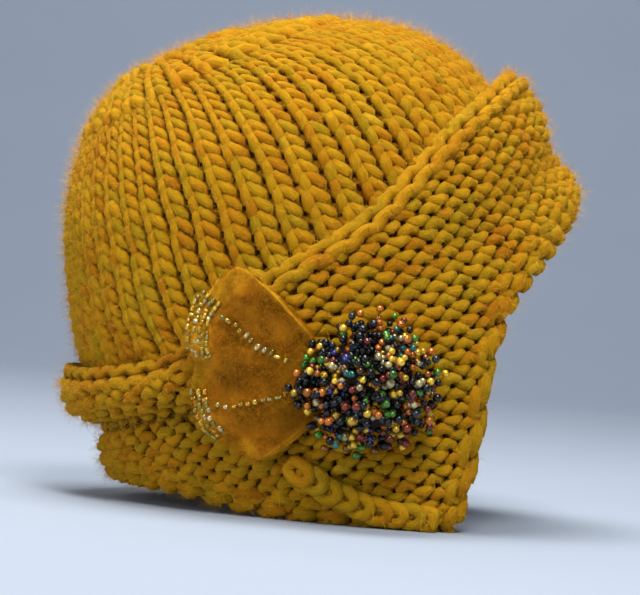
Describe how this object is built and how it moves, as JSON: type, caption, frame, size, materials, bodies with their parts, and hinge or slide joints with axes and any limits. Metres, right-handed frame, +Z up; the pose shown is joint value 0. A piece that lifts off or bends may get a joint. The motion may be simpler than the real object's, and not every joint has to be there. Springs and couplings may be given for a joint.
{
  "type": "knitted cloche hat",
  "caption": "Hand-knitted cloche hat with a wide turned-up purl-side brim, ear parts, a felt leaf with bead rows and a domed cluster of bead strands.",
  "frame": {"origin": "centre of the hat's bounding box on the surface that it rests on", "axes": "+Z up, +X to the front of the hat, -Y to the trimmed side"},
  "size_m": [0.223, 0.2098, 0.2163],
  "materials": {
    "knit": "fuzzy hand-dyed wool, golden yellow to rust",
    "felt": "felted wool, burnt orange with a golden edge",
    "gold_beads": "lined clear glass",
    "mixed_beads": "glossy black, gold, green and red glass"
  },
  "bodies": {
    "root": {"crown": "knit", "brim": "knit", "cast_off_edge": "knit", "felt_leaf": "felt", "leaf_beads_upper_edge": "gold_beads", "leaf_beads_upper_vein": "gold_beads", "leaf_beads_lower_edge": "gold_beads", "leaf_beads_lower_vein": "gold_beads", "bead_cluster": "mixed_beads"}
  },
  "joints": []
}
